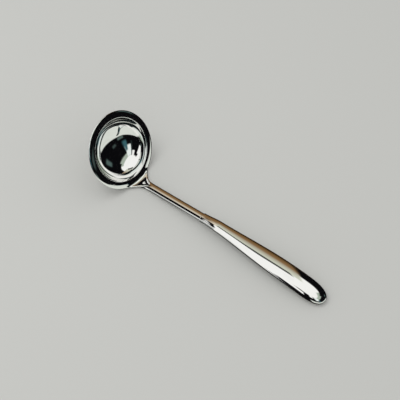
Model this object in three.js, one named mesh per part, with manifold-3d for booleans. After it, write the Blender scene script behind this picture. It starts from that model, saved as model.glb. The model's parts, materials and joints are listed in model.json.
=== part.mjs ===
// Serving ladle in polished stainless steel: a pressed bowl with a flared lip and a neck drawn out of it,
// a solid shank, and a hollow handle of two half shells. Millimetres, +Z up, lying as it rests on a table.
//
// The pieces are drawn in the rim's own frame: origin at the middle of the lip, X out towards the handle,
// Z along the bowl's axis and up out of its mouth, with Z = 0 on top of the lip's edge. Slopes are degrees.
import * as THREE from 'three';
import { mergeVertices } from 'three/addons/utils/BufferGeometryUtils.js';
import Module from 'manifold-3d';

// Bowl
const lipRadius = 42;
const lipWidth = 6.3;
const lipSlopeAtShoulder = -3;
const lipSlopeAtEdge = -14;
const shoulderRadius = 2;
const wallSlope = 76;
const wallRadius = 24;
const baseSlope = 24; // where the flatter base turns into the wall
const sheet = 1.5;
const baseFlatRadius = 5;

// Neck, drawn out of the lip and bent up to meet the shank
const rootInset = 1.2; // from the shoulder out to where the neck starts
const rootHalfWidth = 25;
const rootHalfThickness = 0.5;
const neckBendReach = 7; // along the shank's axis from the rim plane to the end of the bend
const neckReach = 24; // along the shank's axis from the rim plane to the weld
const neckFlarePower = 4.1;
const neckThickening = 23; // length over which the neck reaches the shank's thickness

// Shank
const shankInset = 1.1; // from the lip's edge in to where the shank's axis meets the rim plane
const shankRise = 61.7;
const shankReach = 87; // along the axis from the rim plane to the handle's mouth
const shankWidth = 9.4;
const shankThickness = 5.2;
const tangLength = 12;

// Handle
const handleLength = 158.5;
const handleWall = 1.2;
const mouthEdge = 0.35;
const landEase = 10; // over this length the bore opens from the land into the hollow
const waistWidth = 13.2;
const waistThickness = 7.6;
const flareLength = 24; // from the mouth to the full waist
const waistLength = 24; // from the mouth to where the grip starts to swell
const gripWidth = 22.8;
const gripThickness = 12;
const widestAt = 118; // from the mouth
const swellPower = 1.2;
const tailLength = 26;
const tailPower = 2.5;
const mouthLift = 0.9; // how far the handle's axis rises over the shank's along the flare
const bendStart = 2;
const bendEnd = 28;
const handleBend = 6.6;
const handleDroop = 13;
const droopPower = 4; // above 1, the handle curves most towards its tail

// Fits
const weldGap = 0.3;
const tangClearance = 0.3;
const tangEndRoom = 0.5; // how far the mouth's straight bore runs past the tang
const seamGap = 0.3;
const ovalPower = 2.3; // 2 would be a plain ellipse

// Facets
const bowlSides = 56;
const baseSteps = 4;
const wallSteps = 6;
const shoulderSteps = 4;
const lipSteps = 3;
const edgeSteps = 4;
const neckSteps = 14;
const ovalSides = 26; // not a multiple of 4, so that the ovals have a flat facet underneath to lie on
const shellSides = 13; // odd, for the same reason
const mouthSteps = 8;
const gripSteps = 9;
const tailSteps = 8;
const axisSteps = 60; // for adding up the handle's bent axis
const samePoint = 1e-5; // points this close are one

// Search for the rest pose, degrees
const flattestTilt = 20;
const steepestTilt = 85;
const tiltSteps = 40;

const { degToRad, clamp, lerp, smoothstep } = THREE.MathUtils;
const wasm = await Module();
wasm.setup();

const steel = () => new THREE.MeshStandardMaterial({ color: 0xdadbd8, metalness: 1, roughness: 0.06 });

// Solids from points and triangles

function closedGeometry(points, triangles) {
  const geometry = new THREE.BufferGeometry().setFromPoints(points);
  geometry.setIndex(triangles.flat());
  const merged = mergeVertices(geometry, samePoint);
  const old = merged.getIndex().array;
  const kept = [];
  for (let i = 0; i < old.length; i += 3) {
    const [a, b, c] = old.slice(i, i + 3);
    if (a !== b && b !== c && c !== a) kept.push(a, b, c);
  }
  merged.setIndex(kept);
  return merged;
}

// Side walls between closed rings that turn the right-handed way about the direction they advance in
function wallTriangles(rings) {
  const sides = rings[0].length;
  const triangles = [];
  for (let i = 0; i + 1 < rings.length; i++) {
    for (let k = 0; k < sides; k++) {
      const a = i * sides + k;
      const b = i * sides + (k + 1) % sides;
      triangles.push([a, b, b + sides], [a, b + sides, a + sides]);
    }
  }
  return triangles;
}

// A solid bar through its rings; each end is closed by strips from the ring's upper half to its lower half
function bar(rings) {
  const sides = rings[0].length;
  const points = rings.flat();
  const triangles = wallTriangles(rings);
  const last = points.length - sides;
  for (let k = 0; k < sides / 2; k++) {
    const [a, b, c, d] = [k, k + 1, sides - k - 1, (sides - k) % sides];
    triangles.push([a, c, b], [a, d, c]);
    triangles.push([last + a, last + b, last + c], [last + a, last + c, last + d]);
  }
  return closedGeometry(points, triangles);
}

function toSolid(geometry) {
  const bare = geometry.clone();
  bare.deleteAttribute('normal');
  bare.deleteAttribute('uv');
  const merged = mergeVertices(bare, samePoint);
  return new wasm.Manifold(new wasm.Mesh({
    numProp: 3,
    vertProperties: new Float32Array(merged.getAttribute('position').array),
    triVerts: new Uint32Array(merged.getIndex().array),
  }));
}

function toGeometry(solid) {
  const { vertProperties, triVerts } = solid.getMesh();
  const geometry = new THREE.BufferGeometry();
  geometry.setAttribute('position', new THREE.BufferAttribute(vertProperties, 3));
  geometry.setIndex(new THREE.BufferAttribute(triVerts, 1));
  return geometry;
}

// Oval sections, the way both the shank and the handle are shaped

function ovalPoint(halfWidth, halfThickness, turn) {
  const across = Math.cos(turn);
  const up = Math.sin(turn);
  const power = 2 / ovalPower;
  return [
    halfWidth * Math.sign(across) * Math.abs(across) ** power,
    halfThickness * Math.sign(up) * Math.abs(up) ** power,
  ];
}

// Puts a section point, across and up, at a place on the middle plane that heads up at a slope
function onSection(place, slope, [across, up]) {
  return new THREE.Vector3(place.x - up * Math.sin(slope), across, place.y + up * Math.cos(slope));
}

// Bowl: a flat base, a rounder wall, a tight shoulder and a lip that droops to its edge, all arcs of one sheet

const slopeAtShoulder = degToRad(lipSlopeAtShoulder);
const slopeAtEdge = degToRad(lipSlopeAtEdge);
const slopeOfWall = degToRad(wallSlope);
const slopeOfBase = degToRad(baseSlope);
const shoulderEnd = lipRadius - lipWidth;
const lipArc = (lipWidth - sheet / 2) / (Math.sin(slopeAtShoulder) - Math.sin(slopeAtEdge));
const lipCentre = new THREE.Vector2(
  lipRadius - sheet / 2 + lipArc * Math.sin(slopeAtEdge),
  -lipArc * Math.cos(slopeAtEdge),
);
const shoulderCentre = new THREE.Vector2(
  lipCentre.x - (lipArc - shoulderRadius) * Math.sin(slopeAtShoulder),
  lipCentre.y + (lipArc - shoulderRadius) * Math.cos(slopeAtShoulder),
);
const wallCentre = new THREE.Vector2(
  shoulderCentre.x - (shoulderRadius + wallRadius) * Math.sin(slopeOfWall),
  shoulderCentre.y + (shoulderRadius + wallRadius) * Math.cos(slopeOfWall),
);
const baseRadius = wallRadius + wallCentre.x / Math.sin(slopeOfBase);
const baseCentre = new THREE.Vector2(0, wallCentre.y + (baseRadius - wallRadius) * Math.cos(slopeOfBase));

// Points of an arc whose surface slopes from one angle to another; bulge is 1 where the arc is crowned
function slopedArc(centre, radius, from, to, steps, bulge) {
  return Array.from({ length: steps + 1 }, (_, i) => {
    const slope = lerp(from, to, i / steps);
    return new THREE.Vector2(
      centre.x - bulge * radius * Math.sin(slope),
      centre.y + bulge * radius * Math.cos(slope),
    );
  });
}

function bowlGeometry() {
  const outerBase = baseRadius + sheet;
  const flatSlope = Math.asin(baseFlatRadius / outerBase);
  const edgeCentre = new THREE.Vector2(
    lipCentre.x - (lipArc - sheet / 2) * Math.sin(slopeAtEdge),
    lipCentre.y + (lipArc - sheet / 2) * Math.cos(slopeAtEdge),
  );
  const underside = slopeAtEdge + Math.PI;
  const innerShoulder = shoulderRadius - sheet;
  const profile = [
    new THREE.Vector2(0, baseCentre.y - outerBase * Math.cos(flatSlope)),
    ...slopedArc(baseCentre, outerBase, flatSlope, slopeOfBase, baseSteps, -1),
    ...slopedArc(wallCentre, wallRadius + sheet, slopeOfBase, slopeOfWall, wallSteps, -1).slice(1),
    ...slopedArc(shoulderCentre, innerShoulder, slopeOfWall, slopeAtShoulder, shoulderSteps, 1).slice(1),
    ...slopedArc(lipCentre, lipArc - sheet, slopeAtShoulder, slopeAtEdge, lipSteps, 1).slice(1),
    ...slopedArc(edgeCentre, sheet / 2, underside, underside + Math.PI, edgeSteps, 1).slice(1, -1),
    ...slopedArc(lipCentre, lipArc, slopeAtEdge, slopeAtShoulder, lipSteps, 1),
    ...slopedArc(shoulderCentre, shoulderRadius, slopeAtShoulder, slopeOfWall, shoulderSteps, 1).slice(1),
    ...slopedArc(wallCentre, wallRadius, slopeOfWall, slopeOfBase, wallSteps, -1).slice(1),
    ...slopedArc(baseCentre, baseRadius, slopeOfBase, 0, baseSteps, -1).slice(1),
  ];
  const halfFacet = Math.PI / bowlSides; // turns a flat facet under the neck, for the lip to lie on
  const cup = new THREE.LatheGeometry(profile, bowlSides, halfFacet).rotateX(Math.PI / 2);
  return toGeometry(toSolid(cup).add(toSolid(neckGeometry())));
}

// Neck: starts inside the lip's sheet, curves up into the shank's line and narrows to the shank's section

const rise = degToRad(shankRise);
const shankLine = new THREE.Vector2(Math.cos(rise), Math.sin(rise));
const shankFoot = new THREE.Vector2(lipRadius - shankInset, 0);
const alongShank = (reach) => shankFoot.clone().addScaledVector(shankLine, reach);

function neckPath() {
  const startRadius = shoulderEnd + rootInset;
  const middleArc = lipArc - sheet / 2;
  const startSlope = Math.asin((lipCentre.x - startRadius) / middleArc);
  const start = new THREE.Vector2(startRadius, lipCentre.y + middleArc * Math.cos(startSlope));
  const toFoot = shankFoot.clone().sub(start);
  const lipLine = new THREE.Vector2(Math.cos(startSlope), Math.sin(startSlope));
  const run = toFoot.cross(shankLine) / lipLine.cross(shankLine);
  const corner = start.clone().addScaledVector(lipLine, run);
  const path = new THREE.CurvePath();
  path.add(new THREE.QuadraticBezierCurve(start, corner, alongShank(neckBendReach)));
  path.add(new THREE.LineCurve(alongShank(neckBendReach), alongShank(neckReach)));
  return path;
}

function neckGeometry() {
  const path = neckPath();
  const length = path.getLength();
  const rings = Array.from({ length: neckSteps + 1 }, (_, i) => {
    const t = i / neckSteps;
    const place = path.getPointAt(t);
    const heading = path.getTangentAt(t);
    const spread = (1 - t) ** neckFlarePower;
    const halfWidth = lerp(shankWidth / 2, rootHalfWidth, spread);
    const thickening = smoothstep(t * length, 0, neckThickening);
    const halfThickness = lerp(rootHalfThickness, shankThickness / 2, thickening);
    return Array.from({ length: ovalSides }, (_, k) => {
      const [across, up] = ovalPoint(halfWidth, halfThickness, (2 * Math.PI * k) / ovalSides);
      const roundTheLip = (place.x - Math.sqrt(place.x ** 2 - across ** 2)) * spread;
      const drawnBack = new THREE.Vector2(place.x - roundTheLip, place.y);
      return onSection(drawnBack, heading.angle(), [across, up]);
    });
  });
  return bar(rings);
}

// Shank: a straight bar from the weld at the neck to the end of its tang inside the handle

function shankGeometry() {
  const ends = [neckReach + weldGap, shankReach + tangLength];
  const rings = ends.map((reach) => Array.from({ length: ovalSides }, (_, k) => {
    const point = ovalPoint(shankWidth / 2, shankThickness / 2, (2 * Math.PI * k) / ovalSides);
    return onSection(alongShank(reach), rise, point);
  }));
  return bar(rings);
}

// Handle: two half shells on one bent axis, measured from the mouth

function handleSlope(run) {
  const droop = clamp((run - bendEnd) / (handleLength - bendEnd), 0, 1) ** droopPower;
  return degToRad(shankRise - handleBend * smoothstep(run, bendStart, bendEnd) - handleDroop * droop);
}

function handlePlace(run) {
  const place = alongShank(shankReach);
  for (let i = 0; i < axisSteps; i++) {
    const slope = handleSlope((run * (i + 0.5)) / axisSteps);
    place.x += (Math.cos(slope) * run) / axisSteps;
    place.y += (Math.sin(slope) * run) / axisSteps;
  }
  const lift = mouthLift * smoothstep(run, 0, flareLength);
  return new THREE.Vector2(place.x - lift * Math.sin(rise), place.y + lift * Math.cos(rise));
}

function swelling(run, atMouth, atWaist, atGrip) {
  const swell = clamp((run - waistLength) / (widestAt - waistLength), 0, 1);
  return lerp(atMouth, atWaist, smoothstep(run, 0, flareLength))
    + (atGrip - atWaist) * Math.sin((swell * Math.PI) / 2) ** swellPower;
}

// How far the bore has opened from the straight land round the tang into the hollow
const mouthLand = tangLength + tangEndRoom;
const opening = (run) => smoothstep(run, mouthLand, mouthLand + landEase);

// The hollow follows the straight tang at the land and the handle's own axis beyond it
function hollowAxis(run) {
  const open = opening(run);
  return {
    place: alongShank(shankReach + run).lerp(handlePlace(run), open),
    slope: lerp(rise, handleSlope(run), open),
  };
}

// Half width and half thickness of the outside and of the hollow, before the tail rounds them off
function handleHalves(run) {
  const bore = [shankWidth / 2 + tangClearance, shankThickness / 2 + tangClearance];
  const outside = [
    swelling(run, bore[0] + mouthEdge, waistWidth / 2, gripWidth / 2),
    swelling(run, bore[1] + mouthEdge, waistThickness / 2, gripThickness / 2),
  ];
  const hollow = outside.map((half, i) => lerp(bore[i], half - handleWall, opening(run)));
  return { outside, hollow };
}

// Stations along the handle: how far the outside and the hollow have run, and what the tail leaves of them
function handleStations() {
  const tailStart = handleLength - tailLength;
  const stations = [];
  const station = (run, into) => stations.push({
    run: run + into * tailLength,
    hollowRun: run + into * (tailLength - handleWall),
    left: (1 - into ** tailPower) ** (1 / tailPower),
  });
  for (let i = 0; i < mouthSteps; i++) station((waistLength * i) / mouthSteps, 0);
  for (let i = 0; i < gripSteps; i++) station(lerp(waistLength, tailStart, i / gripSteps), 0);
  for (let i = 0; i <= tailSteps; i++) station(tailStart, Math.sin(((i / tailSteps) * Math.PI) / 2));
  return stations;
}

// Half an oval ring that stops half a seam gap short of the parting plane; side is 1 above it and -1 below
function halfRing({ place, slope }, halves, left, side) {
  const [halfWidth, halfThickness] = halves.map((half) => half * left);
  const lift = seamGap / 2;
  const tip = halfThickness <= lift;
  const startTurn = tip ? 0 : Math.asin((lift / halfThickness) ** (ovalPower / 2));
  const firstTurn = side > 0 ? startTurn : Math.PI + startTurn;
  return Array.from({ length: shellSides + 1 }, (_, k) => {
    if (tip) return onSection(place, slope, [0, side * lift]);
    const turn = firstTurn + ((Math.PI - 2 * startTurn) * k) / shellSides;
    return onSection(place, slope, ovalPoint(halfWidth, halfThickness, turn));
  });
}

function shellGeometry(side) {
  const rings = handleStations().map(({ run, hollowRun, left }) => {
    const { outside, hollow } = handleHalves(run);
    const axis = { place: handlePlace(run), slope: handleSlope(run) };
    const inner = halfRing(hollowAxis(hollowRun), hollow, left, side).reverse();
    return [...halfRing(axis, outside, left, side), ...inner];
  });
  const triangles = wallTriangles(rings);
  const last = rings[0].length - 1;
  for (let k = 0; k < shellSides; k++) {
    triangles.push([k, last - k, last - k - 1], [k, last - k - 1, k + 1]);
  }
  return closedGeometry(rings.flat(), triangles);
}

// Assembly

const ladle = new THREE.Group();

function piece(name, geometry) {
  const mesh = new THREE.Mesh(geometry, steel());
  mesh.name = name;
  ladle.add(mesh);
  return mesh;
}

const bowl = piece('bowl', bowlGeometry());
piece('shank', shankGeometry());
const shells = [
  piece('handle_upper_shell', shellGeometry(1)),
  piece('handle_lower_shell', shellGeometry(-1)),
];

// Rest pose: the tilt at which the bowl's lip and the handle's tail are equally low

function tiltedBox(meshes, tilt) {
  const turn = new THREE.Matrix4().makeRotationY(tilt);
  const box = new THREE.Box3();
  for (const { geometry } of meshes) {
    const points = geometry.clone().applyMatrix4(turn).getAttribute('position');
    box.union(new THREE.Box3().setFromBufferAttribute(points));
  }
  return box;
}

let flatter = degToRad(flattestTilt);
let steeper = degToRad(steepestTilt);
for (let i = 0; i < tiltSteps; i++) {
  const tilt = (flatter + steeper) / 2;
  const tailIsHigher = tiltedBox([bowl], tilt).min.z < tiltedBox(shells, tilt).min.z;
  if (tailIsHigher) flatter = tilt;
  else steeper = tilt;
}
ladle.rotation.y = flatter;
const { min, max } = tiltedBox([bowl, ...shells], flatter);
ladle.position.set(-(min.x + max.x) / 2, -(min.y + max.y) / 2, -min.z);

const part = new THREE.Group();
part.add(ladle);
export default part;
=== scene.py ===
"""Serving ladle in mirror-polished steel: bowl with drawn neck, shank, hollow handle and a small studio."""
import json
import math
from typing import NamedTuple

import bmesh
import bpy
import numpy as np
from bpy.props import FloatProperty, FloatVectorProperty, IntProperty, PointerProperty
from bpy.types import Operator, Panel, PropertyGroup
from mathutils import Matrix, Vector


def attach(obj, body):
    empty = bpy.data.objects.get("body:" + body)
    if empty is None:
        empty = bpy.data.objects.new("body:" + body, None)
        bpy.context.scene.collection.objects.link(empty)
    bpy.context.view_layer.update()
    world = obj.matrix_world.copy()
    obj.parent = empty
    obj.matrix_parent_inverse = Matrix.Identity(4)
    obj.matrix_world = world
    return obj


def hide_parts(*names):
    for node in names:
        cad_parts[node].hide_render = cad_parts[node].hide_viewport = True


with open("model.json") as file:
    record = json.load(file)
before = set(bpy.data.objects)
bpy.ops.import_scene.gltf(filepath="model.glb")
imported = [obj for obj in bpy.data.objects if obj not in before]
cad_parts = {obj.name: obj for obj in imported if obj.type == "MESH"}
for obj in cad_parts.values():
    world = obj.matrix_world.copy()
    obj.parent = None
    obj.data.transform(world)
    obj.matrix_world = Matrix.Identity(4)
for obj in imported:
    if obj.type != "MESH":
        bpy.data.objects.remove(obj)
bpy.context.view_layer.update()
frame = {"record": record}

bl_info = {
    "name": "Serving ladle",
    "version": (1, 0, 0),
    "blender": (4, 5, 0),
    "location": "3D View > Sidebar > Ladle",
    "description": "Dresses a hollow-handled serving ladle in polished steel",
    "category": "Add Mesh",
}

BASE = next(mount for mount in frame["record"]["mounts"] if mount["name"] == "bowl_base")


# Settings

def metres(label, default, description):
    return FloatProperty(name=label, description=description, default=default, unit="LENGTH", precision=5)


def point(label, default, description):
    return FloatVectorProperty(name=label, description=description, default=default, subtype="TRANSLATION",
                               unit="LENGTH")


def degrees(label, default, description):
    return FloatProperty(name=label, description=description, default=math.radians(default), subtype="ANGLE")


def number(label, default, description, unit="NONE"):
    return FloatProperty(name=label, description=description, default=default, unit=unit)


def factor(label, default, description):
    return FloatProperty(name=label, description=description, default=default, subtype="FACTOR", min=0, max=1)


def count(label, default, description):
    return IntProperty(name=label, description=description, default=default, min=1)


def colour(label, default, description):
    return FloatVectorProperty(name=label, description=description, default=default, size=3, subtype="COLOR",
                               min=0, max=1)


def srgb(*levels):
    """Linear colour from levels of 0 to 255."""
    shares = [level / 255 for level in levels]
    return tuple(share / 12.92 if share <= 0.04045 else ((share + 0.055) / 1.055) ** 2.4 for share in shares)


class LadleBowl(PropertyGroup):
    """Sizes of the pressed bowl."""
    lip_radius: metres("Lip radius", 0.0417, "From the bowl's axis to the edge of the lip")
    lip_width: metres("Lip width", 0.006, "From the shoulder out to the edge of the lip")
    lip_slope_at_shoulder: degrees("Lip slope at shoulder", -3, "Slope of the lip next to the shoulder")
    lip_slope_at_edge: degrees("Lip slope at edge", -14, "Slope of the lip at its edge")
    shoulder_radius: metres("Shoulder radius", 0.002, "Bend from the lip into the cup, on the inside")
    brim_radius: metres("Brim radius", 0.0009, "Coined edge of that bend, where the lip meets the wall")
    wall_slope: degrees("Wall slope", 76, "Slope of the cup where it meets the shoulder")
    wall_radius: metres("Wall radius", 0.024, "Arc of the cup's wall, on the inside")
    base_slope: degrees("Base slope", 24, "Slope at which the flatter base turns into the wall")
    sheet: metres("Sheet", 0.0015, "Thickness of the steel sheet")
    flat_radius: metres("Flat radius", 0.005, "Half the width of the small flat under the cup")
    flat_round: metres("Flat round", 0.0006, "Softening of the flat's edge")
    segments: count("Segments", 48, "Cage faces around the bowl")
    neck_segments: count("Neck segments", 3, "Cage faces on each side of the neck's middle line")


class LadleNeck(PropertyGroup):
    """Sizes of the neck that is drawn out of the lip."""
    root_inset: metres("Root inset", 0.0012, "From the shoulder out to where the lip rises into the neck")
    bend_reach: metres("Bend reach", 0.007, "Along the shank's axis from the rim plane to the bend's end")
    reach: metres("Reach", 0.024, "Along the shank's axis from the rim plane to the weld")
    flare: metres("Flare", 0.018, "Length over which the neck narrows to the shank's width")
    flare_power: number("Flare power", 4, "Above 1, the neck narrows fastest next to the lip")
    thickening: metres("Thickening", 0.016, "Length over which the sheet grows to the shank's thickness")
    rise_plateau: metres("Rise plateau", 0.003, "Half width of the lip that rises fully into the neck")
    root_squareness: number("Root squareness", 2.5, "How much squarer than the shank's oval the neck starts")


class LadleShank(PropertyGroup):
    """Sizes of the solid shank."""
    inset: metres("Inset", 0.0008, "From the lip's edge in to where the shank's axis meets the rim plane")
    rise: degrees("Rise", 61.7, "Slope of the shank over the rim plane")
    reach: metres("Reach", 0.087, "Along the axis from the rim plane to the handle's mouth")
    width: metres("Width", 0.0094, "Width of the oval section")
    thickness: metres("Thickness", 0.0052, "Thickness of the oval section")
    tang: metres("Tang", 0.012, "Length of the shank inside the handle")
    oval_power: number("Oval power", 2.3, "2 is a plain ellipse, more is squarer")


class LadleHandle(PropertyGroup):
    """Sizes of the hollow handle."""
    length: metres("Length", 0.1584, "Along the handle's axis from its mouth to its tail")
    wall: metres("Wall", 0.0012, "Thickness of the half shells")
    mouth_step: metres("Mouth step", 0.00065, "How far the mouth stands over the shank")
    land: metres("Land", 0.0125, "Length of straight bore round the tang")
    land_ease: metres("Land ease", 0.01, "Length over which the bore opens into the hollow")
    bore_clearance: metres("Bore clearance", 0.0003, "Between the tang and the bore")
    edge_wall: metres("Edge wall", 0.00005, "Least wall left at the mouth's rounded edge")
    waist_width: metres("Waist width", 0.0132, "Width at the waist")
    waist_thickness: metres("Waist thickness", 0.0076, "Thickness at the waist")
    flare: metres("Flare", 0.024, "From the mouth to the full waist")
    waist: metres("Waist", 0.024, "From the mouth to where the grip starts to swell")
    grip_width: metres("Grip width", 0.0228, "Width where the grip is widest")
    grip_thickness: metres("Grip thickness", 0.012, "Thickness where the grip is widest")
    widest_at: metres("Widest at", 0.118, "From the mouth to the widest place")
    swell_power: number("Swell power", 1.2, "How late the grip swells")
    tail: metres("Tail", 0.026, "Length over which the tail rounds off")
    tail_power: number("Tail power", 2.5, "2 is an ellipse, more is blunter")
    lift: metres("Lift", 0.0009, "How far the handle's axis rises over the shank's along the flare")
    bend_start: metres("Bend start", 0.002, "From the mouth to where the handle bends down")
    bend_end: metres("Bend end", 0.028, "From the mouth to the end of that bend")
    bend: degrees("Bend", 6.6, "How far the handle bends down past its mouth")
    droop: degrees("Droop", 13, "How far the handle curves down from there to its tail")
    droop_power: number("Droop power", 4, "Above 1, it curves most towards its tail")
    mouth_stations: count("Mouth stations", 5, "Rings round the mouth's edge")
    grip_stations: count("Grip stations", 90, "Rings along the grip")
    tail_stations: count("Tail stations", 30, "Rings round the tail")
    sides: count("Sides", 32, "Faces across each half shell")


class LadleSteel(PropertyGroup):
    """The polish of the steel."""
    clean_colour: colour("Clean colour", (0.9, 0.9, 0.885), "Clean steel")
    mark_colour: colour("Mark colour", (0.84, 0.84, 0.82), "Steel under a wipe mark")
    roughness: factor("Roughness", 0.02, "Roughness of the clean mirror")
    mark_roughness: factor("Mark roughness", 0.05, "Roughness that a wipe mark adds")
    mark_scale: number("Mark scale", 60, "Wipe marks per metre")
    film_scale: number("Film scale", 300, "Streaks in a wipe mark, per metre")
    line_roughness: factor("Line roughness", 0.02, "Roughness that the polishing lines add")
    line_scale: number("Line scale", 4000, "Polishing lines per metre")
    line_height: metres("Line height", 1e-7, "Depth of the polishing lines")
    wave_scale: number("Wave scale", 60, "Waves of the sheet per metre")
    wave_height: metres("Wave height", 2e-5, "Height of the waves of the sheet")
    stretch: number("Stretch", 40, "How far the polishing lines are drawn out")


class LadleStage(PropertyGroup):
    """Camera, floor and lights."""
    azimuth: degrees("Azimuth", 38.83, "Turn of the camera round the ladle")
    elevation: degrees("Elevation", 54.21, "Height of the camera over the floor, as an angle")
    distance: metres("Distance", 1.518, "From the camera to the point it looks at")
    target: point("Target", (-0.01357, 0, 0.0376), "Point that the camera looks at")
    lens: number("Lens", 133.35, "Focal length in millimetres", "CAMERA")
    sensor: number("Sensor", 36, "Width of the camera's sensor in millimetres", "CAMERA")
    floor_size: metres("Floor size", 6, "Side of the floor")
    floor: colour("Floor", (0.6, 0.604, 0.578), "Colour of the floor")
    floor_mirrored: colour("Floor, mirrored", srgb(222, 226, 219), "The floor as the steel shows it")
    horizon: degrees("Horizon", 1, "Height of the mirrored floor's far edge")
    horizon_drop: degrees("Horizon drop", 11, "How far that edge falls towards the side")
    drop_start: degrees("Drop start", -20, "Turn at which the edge starts to fall")
    drop_end: degrees("Drop end", 55, "Turn at which the edge has fallen")
    horizon_soft: degrees("Horizon soft", 1.2, "Softness of that edge")
    floor_near: degrees("Floor near", -47, "Height at which the mirrored floor starts")
    floor_middle: degrees("Floor middle", -15, "Turn of the mirrored floor's middle")
    floor_half: degrees("Floor half", 63, "Half the mirrored floor's width")
    floor_soft: degrees("Floor soft", 3, "Softness of the mirrored floor's sides and near edge")
    white: colour("White", (0.973, 0.973, 0.956), "Colour all round the ladle, where no card stands")
    soft_light: factor("Soft light", 0.75, "Even light from all sides")
    lamp_power: number("Lamp power", 4, "Power of the soft lamp in watts", "POWER")
    lamp_size: metres("Lamp size", 0.8, "Side of the soft lamp")
    lamp_place: point("Lamp place", (-0.5, -0.3, 1.2), "Where the soft lamp hangs")


class LadleSettings(PropertyGroup):
    """Everything that a user would change."""
    bowl: PointerProperty(type=LadleBowl)
    neck: PointerProperty(type=LadleNeck)
    shank: PointerProperty(type=LadleShank)
    handle: PointerProperty(type=LadleHandle)
    steel: PointerProperty(type=LadleSteel)
    stage: PointerProperty(type=LadleStage)


# Shared geometry: all pieces are drawn in the rim's frame, X towards the handle and Z out of the mouth

def smoothstep(value, low, high):
    t = np.clip((value - low) / (high - low), 0, 1)
    return t * t * (3 - 2 * t)


def lerp(a, b, share):
    return a + (b - a) * share


def unit(vectors):
    return vectors / np.linalg.norm(vectors, axis=-1, keepdims=True)


def meeting(first, first_reach, second, second_reach):
    """The point that lies at given distances from two others, to the right of the line from the first."""
    gap = math.dist(first, second)
    along = (first_reach ** 2 - second_reach ** 2 + gap ** 2) / (2 * gap)
    aside = math.sqrt(first_reach ** 2 - along ** 2)
    step = ((second[0] - first[0]) / gap, (second[1] - first[1]) / gap)
    return first[0] + along * step[0] + aside * step[1], first[1] + along * step[1] - aside * step[0]


class Profile:
    """Arcs of the bowl's sheet, as radius and height: base, wall, shoulder, coined brim and drooping lip."""

    def __init__(self, bowl):
        at_shoulder, at_edge, wall = bowl.lip_slope_at_shoulder, bowl.lip_slope_at_edge, bowl.wall_slope
        self.sheet = bowl.sheet
        self.shoulder_end = bowl.lip_radius - bowl.lip_width
        self.shoulder_radius = bowl.shoulder_radius
        self.lip_arc = (bowl.lip_width - bowl.sheet / 2) / (math.sin(at_shoulder) - math.sin(at_edge))
        edge = bowl.lip_radius - bowl.sheet / 2
        self.lip_centre = (edge + self.lip_arc * math.sin(at_edge), -self.lip_arc * math.cos(at_edge))
        past = self.lip_arc - bowl.shoulder_radius
        self.shoulder_centre = (self.lip_centre[0] - past * math.sin(at_shoulder),
                                self.lip_centre[1] + past * math.cos(at_shoulder))
        spoke = bowl.shoulder_radius + bowl.wall_radius
        self.wall_radius = bowl.wall_radius
        self.wall_centre = (self.shoulder_centre[0] - spoke * math.sin(wall),
                            self.shoulder_centre[1] + spoke * math.cos(wall))
        self.base_slope = bowl.base_slope
        past_wall = self.wall_centre[0] / math.sin(bowl.base_slope)
        self.base_radius = bowl.wall_radius + past_wall
        self.base_centre = (0, self.wall_centre[1] + past_wall * math.cos(bowl.base_slope))
        self.brim_radius = bowl.brim_radius
        self.brim_centre = meeting(self.lip_centre, self.lip_arc - bowl.brim_radius,
                                   self.wall_centre, bowl.wall_radius + bowl.brim_radius)

    def brim_slopes(self):
        """Slopes at which the coined edge meets the wall and the lip."""
        x, z = self.brim_centre
        wall = math.atan2(x - self.wall_centre[0], self.wall_centre[1] - z)
        lip = math.atan2(self.lip_centre[0] - x, z - self.lip_centre[1])
        return wall, lip

    def brim(self, slope):
        return (self.brim_centre[0] - self.brim_radius * math.sin(slope),
                self.brim_centre[1] + self.brim_radius * math.cos(slope))

    def cup(self, slope, outside=False):
        base = slope < self.base_slope
        centre = self.base_centre if base else self.wall_centre
        radius = (self.base_radius if base else self.wall_radius) + self.sheet * outside
        return centre[0] + radius * math.sin(slope), centre[1] - radius * math.cos(slope)

    def cup_slope(self, radius, height):
        """Slope of the cup at its place nearest to a point, and how far that point lies outside the cup."""
        spoke = (radius, self.base_centre[1] - height)
        slope = math.atan2(*spoke)
        if slope < self.base_slope:
            return slope, math.hypot(*spoke) - self.base_radius
        spoke = (radius - self.wall_centre[0], self.wall_centre[1] - height)
        return math.atan2(*spoke), math.hypot(*spoke) - self.wall_radius

    def under_shoulder(self, slope):
        radius = self.shoulder_radius - self.sheet
        return (self.shoulder_centre[0] - radius * math.sin(slope),
                self.shoulder_centre[1] + radius * math.cos(slope))

    def lip(self, slope, depth=0.0):
        radius = self.lip_arc - depth
        return self.lip_centre[0] - radius * math.sin(slope), self.lip_centre[1] + radius * math.cos(slope)

    def lip_at(self, radius, depth):
        """Slope of the lip, and its height, at a distance from the axis and a depth in the sheet."""
        slope = math.asin((self.lip_centre[0] - radius) / (self.lip_arc - depth))
        return slope, self.lip(slope, depth)[1]


def base_depth(bowl):
    """From the rim plane down to the flat under the cup."""
    profile = Profile(bowl)
    outer = profile.base_radius + profile.sheet
    return math.sqrt(outer ** 2 - bowl.flat_radius ** 2) - profile.base_centre[1]


def rim_frame(bowl):
    """Matrix from the rim's frame to the ladle's, found from the flat under the cup."""
    up = -Vector(BASE["axis"]).normalized()
    side = Vector((0, 1, 0))
    turn = Matrix((side.cross(up), side, up)).transposed().to_4x4()
    return Matrix.Translation(Vector(BASE["pos_m"]) + up * base_depth(bowl)) @ turn


def along_shank(ladle, reach):
    """Place on the shank's axis in the middle plane, as X and Z."""
    foot = ladle.bowl.lip_radius - ladle.shank.inset
    return foot + reach * math.cos(ladle.shank.rise), reach * math.sin(ladle.shank.rise)


def oval_up(share, power):
    """Height of an oval of unit size at a share of its half width."""
    return (1 - share ** power) ** (1 / power)


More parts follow.
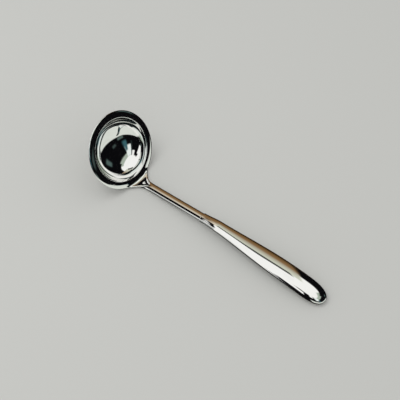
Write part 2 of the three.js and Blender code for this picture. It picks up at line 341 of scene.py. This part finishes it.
# A cubic spline passes each cage point at 4 shares of the point and 1 of each neighbour, out of 6
SPLINE_MIDDLE = 4
SPLINE_WHOLE = 6


def spline_cage(points):
    """Cage points of a closed cubic spline that passes through the given ones."""
    size = len(points)
    weights = SPLINE_MIDDLE * np.eye(size) + np.roll(np.eye(size), 1, 0) + np.roll(np.eye(size), -1, 0)
    return np.linalg.solve(weights / SPLINE_WHOLE, np.array(points))


def bridge(points, faces, row, section):
    """Adds a ring of cage points, joins it to the row before it, if any, and returns the new row."""
    after = list(range(len(points), len(points) + len(section)))
    points.extend(section)
    for a in range(len(row)):
        b = (a + 1) % len(row)
        faces.append((row[a], after[a], after[b], row[b]))
    return after


def add_object(name, data):
    added = bpy.data.objects.new(name, data)
    bpy.context.collection.objects.link(added)
    return added


def dress(piece, finish, *nodes):
    """Hands a finished piece to the frame, in place of its CAD nodes."""
    piece.data.materials.append(finish)
    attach(piece, "root")
    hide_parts(*nodes)


SMOOTHING_LEVELS = 2


def subdivided(name, points, faces):
    """Subdivides a cage and closes its open ends."""
    cage = bpy.data.meshes.new(name)
    cage.from_pydata(points, [], faces)
    piece = add_object(name, cage)
    smoothing = piece.modifiers.new("Smoothing", "SUBSURF")
    smoothing.levels = smoothing.render_levels = SMOOTHING_LEVELS
    solid = bpy.data.meshes.new_from_object(piece.evaluated_get(bpy.context.evaluated_depsgraph_get()))
    piece.modifiers.clear()
    piece.data = solid
    bpy.data.meshes.remove(cage)
    solid.name = name
    grid = bmesh.new()
    grid.from_mesh(solid)
    ends = [edge for edge in grid.edges if edge.is_boundary]
    bmesh.ops.holes_fill(grid, edges=ends)
    for face in grid.faces:
        face.smooth = True
    for edge in ends:
        edge.smooth = False
    bmesh.ops.recalc_face_normals(grid, faces=grid.faces)
    grid.to_mesh(solid)
    grid.free()
    return piece


# Bowl and neck

# Cage rings of the cup, by degrees of slope, and how far the last one outside stays from the flat
CUP_RINGS = 9
CUP_RING_STEP = 8
CUP_SLOPES = [math.radians(CUP_RING_STEP * ring) for ring in range(1, CUP_RINGS + 1)]
FLAT_CLEARANCE = math.radians(4)
# Steps between cage rings round the shoulder and along the lip
SHOULDER_STEPS = 5
LIP_STEPS = 3
# Shares of a section's half width that have cage points
SECTION_SHARES = (0, 0.36, 0.7, 0.93)
# Shares of the neck's length and of the shank's reach that have sections
NECK_SHARES = (0.12, 0.24, 0.38, 0.54, 0.74, 0.88, 0.95, 1)
SHANK_SHARES = (0.3, 0.5, 0.7)
# Points on the neck's bend
BEND_SAMPLES = 60


def bowl_rings(bowl):
    """Cage rings from the middle of the cup's inside, over the lip, to the middle of its outside."""
    profile = Profile(bowl)
    wall, at_shoulder, at_edge = bowl.wall_slope, bowl.lip_slope_at_shoulder, bowl.lip_slope_at_edge
    shoulder = np.linspace(wall, at_shoulder, SHOULDER_STEPS + 1)
    lip = np.linspace(at_shoulder, at_edge, LIP_STEPS + 1)[1:]
    brim_wall, brim_lip = profile.brim_slopes()
    inside = [profile.cup(slope) for slope in CUP_SLOPES]
    inside += [profile.brim(slope) for slope in np.linspace(brim_wall, brim_lip, SHOULDER_STEPS + 1)]
    inside += [profile.lip(slope) for slope in np.linspace(brim_lip, at_edge, LIP_STEPS + 1)[1:]]
    outside = [profile.lip(slope, bowl.sheet) for slope in lip[::-1]]
    outside += [profile.under_shoulder(slope) for slope in shoulder[::-1]]
    outer = profile.base_radius + profile.sheet
    flat = math.asin(bowl.flat_radius / outer)
    outside += [profile.cup(slope, True) for slope in CUP_SLOPES[::-1] if slope > flat + FLAT_CLEARANCE]
    soft = bowl.flat_round
    outside.append(profile.cup(flat + soft / outer, True))
    outside.append((bowl.flat_radius - soft, -base_depth(bowl)))
    _, edge_height = profile.lip_at(bowl.lip_radius - bowl.sheet / 2, bowl.sheet / 2)
    top, bottom = inside[-1], outside[0]
    edge_radius = (SPLINE_WHOLE * bowl.lip_radius - top[0] - bottom[0]) / SPLINE_MIDDLE
    return inside, (edge_radius, edge_height), outside


def neck_line(ladle):
    """Middle line of the neck from the lip to the weld: its runs from the lip's edge, places and slopes."""
    profile = Profile(ladle.bowl)
    rise = ladle.shank.rise
    start_radius = profile.shoulder_end + ladle.neck.root_inset
    lip_slope, lip_height = profile.lip_at(start_radius, profile.sheet / 2)
    start = np.array((start_radius, lip_height))
    along = np.array((math.cos(rise), math.sin(rise)))
    foot = np.array(along_shank(ladle, 0))
    lip_along = np.array((math.cos(lip_slope), math.sin(lip_slope)))
    gap = foot - start
    run = (gap[0] * along[1] - gap[1] * along[0]) / (lip_along[0] * along[1] - lip_along[1] * along[0])
    corner = start + run * lip_along
    bend_end = np.array(along_shank(ladle, ladle.neck.bend_reach))
    t = np.linspace(0, 1, BEND_SAMPLES)[:, None]
    bend = (1 - t) ** 2 * start + 2 * t * (1 - t) * corner + t ** 2 * bend_end
    line = np.vstack([bend, along_shank(ladle, ladle.neck.reach)])
    steps = np.hypot(*np.diff(line, axis=0).T)
    runs = np.concatenate([[0], np.cumsum(steps)])
    slopes = np.arctan2(*np.gradient(line, runs, axis=0).T[::-1])
    slopes[-2:] = rise
    edge = ladle.bowl.lip_radius - ladle.bowl.sheet / 2
    runs -= np.interp(edge, line[:, 0], runs)
    return runs, line, slopes


def neck_section(ladle, run, place, heading):
    """Closed ring of cage points round the neck, from its right edge over the top and back underneath."""
    shank, neck, bowl = ladle.shank, ladle.neck, ladle.bowl
    edge = bowl.lip_radius - bowl.sheet / 2
    root = edge * math.sin(2 * math.pi * bowl.neck_segments / bowl.segments)
    left = max(0.0, 1 - run / neck.flare) ** neck.flare_power
    half_width = lerp(shank.width / 2, root, left)
    half_thickness = lerp(bowl.sheet / 2, shank.thickness / 2, smoothstep(run, 0, neck.thickening))
    plate = 1 - smoothstep(run, 0, neck.thickening)
    power = lerp(shank.oval_power, neck.root_squareness * shank.oval_power, plate)
    shares = [-share for share in SECTION_SHARES[:0:-1]] + list(SECTION_SHARES)
    top = [(share * half_width, half_thickness * oval_up(abs(share), power)) for share in shares]
    ring = top + [(half_width, 0)] + [(y, -up) for y, up in top[::-1]] + [(-half_width, 0)]
    points = []
    for y, up in spline_cage(ring):
        round_lip = (place[0] - math.sqrt(place[0] ** 2 - y ** 2)) * left
        points.append((place[0] - round_lip - up * math.sin(heading), y, place[1] + up * math.cos(heading)))
    return points


def draw_neck(ladle, points, faces, row):
    """Draws the neck out of a row of cage points at the lip, section by section, to its weld."""
    runs, line, slopes = neck_line(ladle)
    for share in NECK_SHARES:
        run = share * runs[-1]
        place = [np.interp(run, runs, line[:, axis]) for axis in (0, 1)]
        section = neck_section(ladle, run, place, np.interp(run, runs, slopes))
        row = bridge(points, faces, row, section)


def bowl_cage(ladle):
    """Points and faces of the bowl's cage: rings round its axis, with the neck drawn out of the lip."""
    bowl, neck = ladle.bowl, ladle.neck
    inside, edge, outside = bowl_rings(bowl)
    profile = Profile(bowl)
    _, line, _ = neck_line(ladle)
    sides, half = bowl.segments, bowl.neck_segments
    swell = SPLINE_WHOLE / (SPLINE_MIDDLE + 2 * math.cos(2 * math.pi / sides))
    root = bowl.lip_radius * math.sin(2 * math.pi * half / sides)

    def risen(radius, height, turn):
        """Height of a point, with the lip rising into the neck next to its middle line."""
        side = abs(radius * math.sin(turn))
        if radius < profile.shoulder_end or math.cos(turn) < 0:
            return height
        along = min(radius, bowl.lip_radius - bowl.sheet / 2)
        flat = profile.lip_at(along, bowl.sheet / 2)[1]
        lift = np.interp(along, line[:, 0], line[:, 1]) - flat if along > line[0, 0] else 0
        return height + lift * (1 - smoothstep(side, neck.rise_plateau, root))

    points = [(0, 0, profile.cup(0)[1])]
    places = {}
    rings = inside + [edge] + outside
    top, middle, bottom = len(inside) - 1, len(inside), len(inside) + 1

    def in_neck(k):
        return min(k, sides - k) < half

    for i, (radius, height) in enumerate(rings):
        for k in range(sides):
            if i == middle and in_neck(k):
                continue
            turn = 2 * math.pi * k / sides
            wide = radius * swell
            places[i, k] = len(points)
            points.append((wide * math.cos(turn), wide * math.sin(turn), risen(radius, height, turn)))
    pole = len(points)
    points.append((0, 0, -base_depth(bowl)))
    faces = []
    for k in range(sides):
        after = (k + 1) % sides
        faces.append((0, places[0, k], places[0, after]))
        for i in range(len(rings) - 1):
            if i in (top, middle) and (in_neck(k) or in_neck(after)):
                continue
            faces.append((places[i, k], places[i + 1, k], places[i + 1, after], places[i, after]))
        faces.append((places[len(rings) - 1, k], pole, places[len(rings) - 1, after]))
    across = [k % sides for k in range(-half, half + 1)]
    row = [places[top, k] for k in across] + [places[middle, half]]
    row += [places[bottom, k] for k in across[::-1]] + [places[middle, sides - half]]
    draw_neck(ladle, points, faces, row)
    return points, faces


def true_cup(piece, bowl):
    """Puts the cup's points, but for shoulder and flat, exactly on its arcs, so that it mirrors cleanly."""
    profile = Profile(bowl)
    for vertex in piece.data.vertices:
        x, y, z = vertex.co
        wide = math.hypot(x, y)
        slope, past = profile.cup_slope(wide, z)
        outside = past > profile.sheet / 2
        if not wide or slope > CUP_SLOPES[-1] or (outside and slope < CUP_SLOPES[1]):
            continue
        radius, height = profile.cup(slope, outside)
        vertex.co = (x * radius / wide, y * radius / wide, height)


class LADLE_OT_bowl(Operator):
    """Makes the pressed bowl with its flared lip and drawn neck"""
    bl_idname = "ladle.bowl"
    bl_label = "Bowl"

    def execute(self, context):
        ladle = context.scene.ladle
        place = rim_frame(ladle.bowl)
        points, faces = bowl_cage(ladle)
        piece = subdivided("ladle_bowl", points, faces)
        true_cup(piece, ladle.bowl)
        piece.data.transform(place)
        dress(piece, polished_steel("steel, turned", ladle.steel, round_the_bowl), "bowl")
        return {"FINISHED"}


class LADLE_OT_shank(Operator):
    """Makes the solid shank, from its weld at the neck to the tang inside the handle"""
    bl_idname = "ladle.shank"
    bl_label = "Shank"

    def execute(self, context):
        ladle = context.scene.ladle
        shank = ladle.shank
        reaches = [ladle.neck.reach] + [share * shank.reach for share in SHANK_SHARES]
        reaches += [shank.reach, shank.reach + shank.tang]
        points, faces, row = [], [], []
        for reach in reaches:
            section = neck_section(ladle, ladle.neck.flare, along_shank(ladle, reach), shank.rise)
            row = bridge(points, faces, row, section)
        piece = subdivided("ladle_shank", points, faces)
        place = rim_frame(ladle.bowl)
        piece.data.transform(place)
        along = place.to_3x3() @ Vector((math.cos(shank.rise), 0, math.sin(shank.rise)))
        grain = lengthwise(along, ladle.steel.stretch)
        dress(piece, polished_steel("steel, shank", ladle.steel, grain), "shank")
        return {"FINISHED"}


# Handle

# Points on the handle's axis, and the small step along and round the handle that gives its normals
AXIS_SAMPLES = 400
NORMAL_STEP = 1e-3


class HandleForm:
    """The handle's bent axis and its sections, measured from the mouth."""

    def __init__(self, ladle):
        self.sizes = ladle.handle
        self.shank = ladle.shank
        fine = np.linspace(0, self.sizes.length, AXIS_SAMPLES)
        slopes = self.slope(fine)
        middle = (slopes[1:] + slopes[:-1]) / 2
        step = fine[1] - fine[0]
        x, z = along_shank(ladle, self.shank.reach)
        self.fine = fine
        self.x = x + np.concatenate([[0], np.cumsum(np.cos(middle) * step)])
        self.z = z + np.concatenate([[0], np.cumsum(np.sin(middle) * step)])
        lift = self.sizes.lift * smoothstep(fine, 0, self.sizes.flare)
        self.x -= lift * math.sin(self.shank.rise)
        self.z += lift * math.cos(self.shank.rise)
        self.straight = (x, z)

    def slope(self, run):
        sizes = self.sizes
        droop = np.clip((run - sizes.bend_end) / (sizes.length - sizes.bend_end), 0, 1) ** sizes.droop_power
        bend = sizes.bend * smoothstep(run, sizes.bend_start, sizes.bend_end)
        return self.shank.rise - bend - sizes.droop * droop

    def place(self, run):
        return np.interp(run, self.fine, self.x), np.interp(run, self.fine, self.z)

    def swelling(self, run, mouth, waist, grip):
        sizes = self.sizes
        swell = np.clip((run - sizes.waist) / (sizes.widest_at - sizes.waist), 0, 1)
        return (lerp(mouth, waist, smoothstep(run, 0, sizes.flare))
                + (grip - waist) * np.sin(swell * math.pi / 2) ** sizes.swell_power)

    def halves(self, run):
        """Half width and half thickness outside, with the mouth's edge rounded down to the shank."""
        sizes, step = self.sizes, self.sizes.mouth_step
        rounding = step - math.sqrt(max(0.0, step ** 2 - max(0.0, step - run) ** 2))
        width = self.swelling(run, self.shank.width / 2 + step, sizes.waist_width / 2, sizes.grip_width / 2)
        thickness = self.swelling(run, self.shank.thickness / 2 + step, sizes.waist_thickness / 2,
                                  sizes.grip_thickness / 2)
        return width - rounding, thickness - rounding

    def hollow(self, run, halves):
        """Place, slope and half sizes of the hollow: straight round the tang, then one wall inside."""
        sizes, shank = self.sizes, self.shank
        opened = smoothstep(run, sizes.land, sizes.land + sizes.land_ease)
        straight = (self.straight[0] + run * math.cos(shank.rise),
                    self.straight[1] + run * math.sin(shank.rise))
        bore = (shank.width / 2 + sizes.bore_clearance, shank.thickness / 2 + sizes.bore_clearance)
        inner = [min(lerp(narrow, half - sizes.wall, opened), half - sizes.edge_wall)
                 for narrow, half in zip(bore, halves)]
        place = [lerp(a, b, opened) for a, b in zip(straight, self.place(run))]
        return place, lerp(shank.rise, self.slope(run), opened), inner

    def station(self, stretch, share):
        """How far along a ring lies, outside and in the hollow, and what the tail leaves of its size."""
        sizes = self.sizes
        tail_start = sizes.length - sizes.tail
        turn = share * math.pi / 2
        if stretch == "mouth":
            run = sizes.mouth_step * (1 - math.cos(turn))
            return run, run, 1.0
        if stretch == "grip":
            run = lerp(sizes.mouth_step, tail_start, share)
            return run, run, 1.0
        into = math.sin(turn)
        left = max(0.0, 1 - into ** sizes.tail_power) ** (1 / sizes.tail_power)
        return tail_start + into * sizes.tail, tail_start + into * (sizes.tail - sizes.wall), left

    def oval(self, place, heading, halves, left, turns):
        """Points of a section, given by turns from its right side over its top."""
        power = 2 / self.shank.oval_power
        across = np.sign(np.cos(turns)) * np.abs(np.cos(turns)) ** power * halves[0] * left
        up = np.sign(np.sin(turns)) * np.abs(np.sin(turns)) ** power * halves[1] * left
        x = place[0] - up * math.sin(heading)
        z = place[1] + up * math.cos(heading)
        return np.stack([x, across, z], axis=1)

    def outer_ring(self, stretch, share, turns):
        run, _, left = self.station(stretch, share)
        return self.oval(self.place(run), self.slope(run), self.halves(run), left, turns)

    def inner_ring(self, stretch, share, turns):
        run, hollow_run, left = self.station(stretch, share)
        place, heading, halves = self.hollow(hollow_run, self.halves(run))
        return self.oval(place, heading, halves, left, turns)

    def outer_normals(self, stretch, share, turns):
        """Outward normals of a ring, from small steps along the handle and round it."""
        before, after = max(0.0, share - NORMAL_STEP), min(1.0, share + NORMAL_STEP)
        along = self.outer_ring(stretch, after, turns) - self.outer_ring(stretch, before, turns)
        turning = (self.outer_ring(stretch, share, turns + NORMAL_STEP)
                   - self.outer_ring(stretch, share, turns - NORMAL_STEP))
        return unit(np.cross(turning, along))


def half_shell(name, form, first_turn, place):
    """One half of the hollow handle, with the smooth normals of the whole handle on its outside."""
    sizes = form.sizes
    turns = first_turn + np.linspace(0, math.pi, sizes.sides + 1)
    counts = {"mouth": sizes.mouth_stations, "grip": sizes.grip_stations, "tail": sizes.tail_stations}
    stations = [(stretch, i / rings) for stretch, rings in counts.items() for i in range(rings)]
    outer = [form.outer_ring(*station, turns) for station in stations]
    inner = [form.inner_ring(*station, turns) for station in stations]
    normals = [form.outer_normals(*station, turns) for station in stations]
    heading = form.slope(sizes.length)
    tip = np.array((math.cos(heading), 0, math.sin(heading)))
    normals.append(np.tile(tip, (len(turns), 1)))
    width = len(turns)
    outer_size = len(stations) * width
    outer_tip, inner_tip = 2 * outer_size, 2 * outer_size + 1
    tips = [form.outer_ring("tail", 1, turns)[:1], form.inner_ring("tail", 1, turns)[:1]]
    points = np.concatenate(outer + inner + tips)

    def out(i, k):
        return i * width + k if i < len(stations) else outer_tip

    def into(i, k):
        return outer_size + i * width + k if i < len(stations) else inner_tip

    faces, corners = [], []

    def add(face, outside=None):
        """Adds a face without its doubled corners, with normals of the outside or its own."""
        kept = [corner for n, corner in enumerate(face) if corner not in face[:n]]
        faces.append(kept)
        corners.extend(outside[face.index(corner)] if outside else None for corner in kept)

    for i in range(len(stations)):
        for k in range(sizes.sides):
            ring = [(i, k), (i, k + 1), (i + 1, k + 1), (i + 1, k)]
            add([out(*spot) for spot in ring], [normals[row][column] for row, column in ring])
            add([into(*spot) for spot in ring[::-1]])
        add([out(i, 0), out(i + 1, 0), into(i + 1, 0), into(i, 0)])
        last = sizes.sides
        add([out(i, last), into(i, last), into(i + 1, last), out(i + 1, last)])
    for k in range(sizes.sides):
        add([out(0, k), into(0, k), into(0, k + 1), out(0, k + 1)])
    mesh = bpy.data.meshes.new(name)
    turn = np.array(place.to_3x3())
    mesh.from_pydata(points @ turn.T + np.array(place.translation), [], faces)
    mesh.shade_smooth()
    flat = [mesh.polygons[n].normal for n, face in enumerate(faces) for _ in face]
    mesh.normals_split_custom_set([turn @ given if given is not None else own
                                   for given, own in zip(corners, flat)])
    return add_object(name, mesh)


class LADLE_OT_handle(Operator):
    """Makes the two half shells of the hollow handle"""
    bl_idname = "ladle.handle"
    bl_label = "Handle"

    def execute(self, context):
        ladle = context.scene.ladle
        form = HandleForm(ladle)
        place = rim_frame(ladle.bowl)
        upper = half_shell("ladle_handle_upper", form, 0, place)
        lower = half_shell("ladle_handle_lower", form, math.pi, place)
        heading = form.slope(ladle.handle.widest_at)
        along = place.to_3x3() @ Vector((math.cos(heading), 0, math.sin(heading)))
        finish = polished_steel("steel, handle", ladle.steel, lengthwise(along, ladle.steel.stretch))
        dress(upper, finish, "handle_upper_shell")
        dress(lower, finish, "handle_lower_shell")
        return {"FINISHED"}


# Steel

class Shade:
    """A node socket that can be used in Python expressions."""

    def __init__(self, tree, socket):
        self.tree = tree
        self.socket = socket

    def __add__(self, other):
        return maths("ADD", self, other)

    __radd__ = __add__

    def __mul__(self, other):
        return maths("MULTIPLY", self, other)

    __rmul__ = __mul__

    def __sub__(self, other):
        return maths("SUBTRACT", self, other)

    def __rsub__(self, other):
        return maths("SUBTRACT", other, self)

    def __abs__(self):
        return maths("ABSOLUTE", self)

    def rise(self, low, high):
        """0 below the low value and 1 over the high one, with a soft step between."""
        return node(self.tree, "ShaderNodeMapRange", {"interpolation_type": "SMOOTHSTEP"},
                    {"Value": self, "From Min": low, "From Max": high})

    def vector(self, operation, other, output="Vector"):
        return node(self.tree, "ShaderNodeVectorMath", {"operation": operation}, {0: self, 1: other}, output)

    def scaled(self, amount):
        return node(self.tree, "ShaderNodeVectorMath", {"operation": "SCALE"},
                    {"Vector": self, "Scale": amount})


def node(tree, kind, settings=None, sockets=None, output=0):
    """Adds a node, sets it up, feeds its sockets and returns one of its outputs."""
    added = tree.nodes.new(kind)
    for name, value in (settings or {}).items():
        setattr(added, name, value)
    for name, value in (sockets or {}).items():
        if isinstance(value, Shade):
            tree.links.new(value.socket, added.inputs[name])
        else:
            added.inputs[name].default_value = value
    return Shade(tree, added.outputs[output])


def maths(operation, *values):
    """One maths node; at least one of the values is a socket."""
    tree = next(value.tree for value in values if isinstance(value, Shade))
    return node(tree, "ShaderNodeMath", {"operation": operation}, dict(enumerate(values)))


# Sockets of a Mix node for colours, which share their names with its other sockets
MIX_SHARE = 0
MIX_BELOW = 6
MIX_ABOVE = 7
MIX_RESULT = 2


def blend(tree, share, below, above):
    """Mixes two colours: all of the first at a share of 0, all of the second at 1."""
    below, above = ((*shade, 1) if not isinstance(shade, Shade) else shade for shade in (below, above))
    return node(tree, "ShaderNodeMix", {"data_type": "RGBA"},
                {MIX_SHARE: share, MIX_BELOW: below, MIX_ABOVE: above}, MIX_RESULT)


def noise(tree, vector, scale, detail):
    return node(tree, "ShaderNodeTexNoise", {}, {"Vector": vector, "Scale": scale, "Detail": detail})


# Noise values between which the wipe marks and their streaks fade in
MARK_FADE = (0.45, 0.75)
FILM_FADE = (0.3, 0.8)
# Detail of the noise in the polishing lines, the wipe marks and the waves of the sheet
LINE_DETAIL = 3
MARK_DETAIL = 2
WAVE_DETAIL = 0


def polished_steel(name, steel, grain):
    """Mirror-polished steel: fine lines along the grain, faint wipe marks and a slightly uneven sheet."""
    finish = bpy.data.materials.new(name)
    finish.use_nodes = True
    tree = finish.node_tree
    shader = tree.nodes["Principled BSDF"]
    place = node(tree, "ShaderNodeTexCoord", output="Object")
    lines = noise(tree, grain(tree, place), steel.line_scale, LINE_DETAIL)
    marks = noise(tree, place, steel.mark_scale, MARK_DETAIL).rise(*MARK_FADE)
    film = noise(tree, grain(tree, place), steel.film_scale, MARK_DETAIL).rise(*FILM_FADE)
    roughness = steel.roughness + marks * film * steel.mark_roughness + lines * steel.line_roughness
    uneven = noise(tree, place, steel.wave_scale, WAVE_DETAIL)
    waves = node(tree, "ShaderNodeBump", {}, {"Strength": 1, "Distance": steel.wave_height, "Height": uneven})
    polish = node(tree, "ShaderNodeBump", {},
                  {"Strength": 1, "Distance": steel.line_height, "Height": lines, "Normal": waves})
    tint = blend(tree, marks * film, steel.clean_colour, steel.mark_colour)
    shader.inputs["Metallic"].default_value = 1
    for socket, value in {"Base Color": tint, "Roughness": roughness, "Normal": polish}.items():
        tree.links.new(value.socket, shader.inputs[socket])
    return finish


def round_the_bowl(tree, place):
    """Grain that runs in circles round the bowl's axis."""
    axis = Vector(BASE["axis"])
    spoke = place.vector("SUBTRACT", BASE["pos_m"])
    height = spoke.vector("DOT_PRODUCT", axis, "Value")
    radius = spoke.vector("CROSS_PRODUCT", axis).vector("DISTANCE", (0, 0, 0), "Value")
    return node(tree, "ShaderNodeCombineXYZ", {}, {"X": radius, "Y": height})


def lengthwise(along, stretch):
    """Grain that runs along a straight line, drawn out by a stretch."""
    def grain(tree, place):
        run = place.vector("DOT_PRODUCT", along, "Value")
        back = node(tree, "ShaderNodeCombineXYZ", {}, dict(zip("XYZ", along))).scaled(run * (1 / stretch - 1))
        return place.vector("ADD", back)
    return grain


# Stage

class Card(NamedTuple):
    """A card as the ladle sees it: turn and heights in degrees, soft edges, and a top shade if it changes."""
    middle: float
    half_width: float
    low: float
    high: float
    soft: float
    shade: tuple
    top: tuple = None


# In degrees: half a turn, and a half width and a lower edge that lie just past the last direction
HALF_TURN = 180
ALL_ROUND = 181
STRAIGHT_DOWN = -91

BLACK = srgb(10, 10, 12)
# Dark grey of the painted shadow that the steel mirrors under the ladle
PAINTED_SHADOW_GREY = srgb(22, 22, 22)
GREY = srgb(165, 168, 165)
DARK_BROWN = srgb(50, 34, 14)
BROWN = srgb(135, 104, 69)
CREAM = srgb(226, 216, 196)
PALE_GREEN = srgb(212, 216, 200)
WHITE = srgb(252, 252, 250)
CARDS = {
    # Painted shadow: the steel mirrors dark grey straight below it, in place of the ladle's shadow on the
    # floor
    "painted shadow below": Card(0, ALL_ROUND, STRAIGHT_DOWN, -47, 3, PAINTED_SHADOW_GREY),
    "dark panel": Card(-0.5, 106.5, STRAIGHT_DOWN, 49, 1.5, BLACK),
    "dark panel, corner": Card(-86, 17, 44, 64, 3, BLACK),
    "white card": Card(259.5, 9.5, 24, 53, 2, WHITE),
    "pale green card": Card(10, 50, 48, 62, 3, srgb(170, 182, 168)),
    "dark bar": Card(73, 32, 44, 54, 2, BLACK),
    "pale card": Card(-26, 16, 30, 61, 3, srgb(238, 245, 242)),
    "blue card": Card(-15, 6, 16, 42, 4, srgb(60, 100, 108)),
    "dark post": Card(-47, 4, 20, 64, 1.5, srgb(30, 38, 38)),
    "dim card, side": Card(53, 5, 10, 26, 3, srgb(80, 98, 95)),
    "dim card, low": Card(-8, 7, 2, 8, 2, srgb(90, 105, 100)),
    "dim card, small": Card(13, 5, 10, 16, 2, srgb(60, 72, 70)),
    "brown card, foot": Card(134.5, 30.5, STRAIGHT_DOWN, 4, 2, DARK_BROWN),
    "brown card": Card(134.5, 30.5, 0, 44, 2, DARK_BROWN, BROWN),
    "brown card, head": Card(134.5, 30.5, 40, 66, 2, BROWN, PALE_GREEN),
    "brown card, light edge": Card(152, 13, 38, 60, 2, BROWN, CREAM),
    "neck shade": Card(162, 18, 36, 45, 2, BLACK),
    "neck shade, upper part": Card(169, 14, 43, 49, 2, BLACK),
    "black strip": Card(186, 21, 51, 60, 1.5, BLACK),
    "black strip, middle part": Card(214, 11, 43, 56, 1.5, BLACK),
    "black strip, lower part": Card(226.5, 7.5, 31, 46, 1.5, BLACK),
    "grey card": Card(231, 13, -57, 15, 2, GREY),
    # Painted shadow under the ladle, as above, reaching a little higher on this side
    "painted shadow below, far side": Card(240, 22, STRAIGHT_DOWN, -38, 3, PAINTED_SHADOW_GREY),
    "dark panel, edge": Card(254, 4.5, -50, -8, 1, BLACK),
    "thin bar": Card(137, 22, 63, 69, 1.5, srgb(60, 62, 58)),
}


def studio(tree, stage):
    """What the ladle mirrors: white, cards, a painted shadow straight below it, and a pale floor from its
    near edge to a falling horizon.
    """
    way = node(tree, "ShaderNodeTexCoord", output="Generated")
    x, y, z = (node(tree, "ShaderNodeSeparateXYZ", {}, {0: way}, axis) for axis in "XYZ")
    turn, height = maths("ARCTAN2", y, x), maths("ARCSINE", z)
    card_turn, card_height = maths("DEGREES", turn), maths("DEGREES", height)
    seen = stage.white
    for card in CARDS.values():
        across = abs(maths("WRAP", card_turn - card.middle, HALF_TURN, -HALF_TURN))
        up = abs(card_height - (card.low + card.high) / 2)
        half_height = (card.high - card.low) / 2
        mask = ((1 - across.rise(card.half_width - card.soft, card.half_width + card.soft))
                * (1 - up.rise(half_height - card.soft, half_height + card.soft)))
        shade = card.shade
        if card.top:
            shade = blend(tree, card_height.rise(card.low, card.high), card.shade, card.top)
        seen = blend(tree, mask, seen, shade)
    over = height - stage.horizon + stage.horizon_drop * turn.rise(stage.drop_start, stage.drop_end)
    below = 1 - over.rise(-stage.horizon_soft, stage.horizon_soft)
    across = abs(turn - stage.floor_middle)
    facing = 1 - across.rise(stage.floor_half - stage.floor_soft, stage.floor_half + stage.floor_soft)
    away = height.rise(stage.floor_near - stage.floor_soft, stage.floor_near + stage.floor_soft)
    return blend(tree, below * facing * away, seen, stage.floor_mirrored)


class LADLE_OT_stage(Operator):
    """Lays the pale floor and sets the lights and the camera"""
    bl_idname = "ladle.stage"
    bl_label = "Stage"

    def execute(self, context):
        scene = context.scene
        stage = scene.ladle.stage
        scene.view_settings.view_transform = "Standard"
        self.lay_floor(stage)
        self.light(scene, stage)
        self.aim_camera(scene, stage)
        return {"FINISHED"}

    def lay_floor(self, stage):
        """A matt floor, which the steel shows as the studio paints it."""
        half = stage.floor_size / 2
        corners = [(-half, -half, 0), (half, -half, 0), (half, half, 0), (-half, half, 0)]
        mesh = bpy.data.meshes.new("floor")
        mesh.from_pydata(corners, [], [(0, 1, 2, 3)])
        floor = add_object("floor", mesh)
        floor.visible_glossy = False
        paint = bpy.data.materials.new("floor")
        paint.use_nodes = True
        shader = paint.node_tree.nodes["Principled BSDF"]
        shader.inputs["Base Color"].default_value = (*stage.floor, 1)
        shader.inputs["Roughness"].default_value = 1
        shader.inputs["Specular IOR Level"].default_value = 0
        mesh.materials.append(paint)

    def light(self, scene, stage):
        """Even light from all sides, a soft lamp, and the studio as the steel mirrors it."""
        world = bpy.data.worlds.new("studio")
        world.use_nodes = True
        tree = world.node_tree
        straight, mirrored, through = (node(tree, "ShaderNodeLightPath", output=f"Is {kind} Ray")
                                       for kind in ("Camera", "Glossy", "Transmission"))
        even = blend(tree, straight, [stage.soft_light] * 3, stage.floor)
        shown = blend(tree, mirrored + through, even, studio(tree, stage))
        tree.links.new(shown.socket, tree.nodes["Background"].inputs["Color"])
        scene.world = world
        lamp = bpy.data.lights.new("soft lamp", "AREA")
        lamp.size = stage.lamp_size
        lamp.energy = stage.lamp_power
        hung = add_object("soft lamp", lamp)
        hung.location = stage.lamp_place
        hung.rotation_euler = Vector(stage.lamp_place).to_track_quat("Z", "Y").to_euler()
        hung.visible_glossy = False

    def aim_camera(self, scene, stage):
        lens = bpy.data.cameras.new("camera")
        lens.lens = stage.lens
        lens.sensor_width = stage.sensor
        camera = add_object("camera", lens)
        around, above = stage.azimuth, stage.elevation
        level = math.cos(above)
        out = Vector((math.sin(around) * level, -math.cos(around) * level, math.sin(above)))
        camera.location = Vector(stage.target) + stage.distance * out
        camera.rotation_euler = out.to_track_quat("Z", "Y").to_euler()
        scene.camera = camera


class LADLE_PT_panel(Panel):
    """Lists what makes the ladle and its settings"""
    bl_idname = "LADLE_PT_panel"
    bl_label = "Serving ladle"
    bl_space_type = "VIEW_3D"
    bl_region_type = "UI"
    bl_category = "Ladle"

    def draw(self, context):
        for operator in OPERATORS:
            self.layout.operator(operator.bl_idname)
        ladle = context.scene.ladle
        for part in LadleSettings.__annotations__:
            settings = getattr(ladle, part)
            box = self.layout.box()
            box.label(text=part.capitalize())
            for setting in type(settings).__annotations__:
                box.prop(settings, setting)


OPERATORS = (LADLE_OT_bowl, LADLE_OT_shank, LADLE_OT_handle, LADLE_OT_stage)
GROUPS = (LadleBowl, LadleNeck, LadleShank, LadleHandle, LadleSteel, LadleStage, LadleSettings)


def register():
    for made in GROUPS + OPERATORS + (LADLE_PT_panel,):
        bpy.utils.register_class(made)
    bpy.types.Scene.ladle = PointerProperty(type=LadleSettings)


def unregister():
    del bpy.types.Scene.ladle
    for made in (LADLE_PT_panel,) + OPERATORS[::-1] + GROUPS[::-1]:
        bpy.utils.unregister_class(made)


def main():
    register()
    bpy.ops.ladle.bowl()
    bpy.ops.ladle.shank()
    bpy.ops.ladle.handle()
    bpy.ops.ladle.stage()


if __name__ == "__main__":
    main()
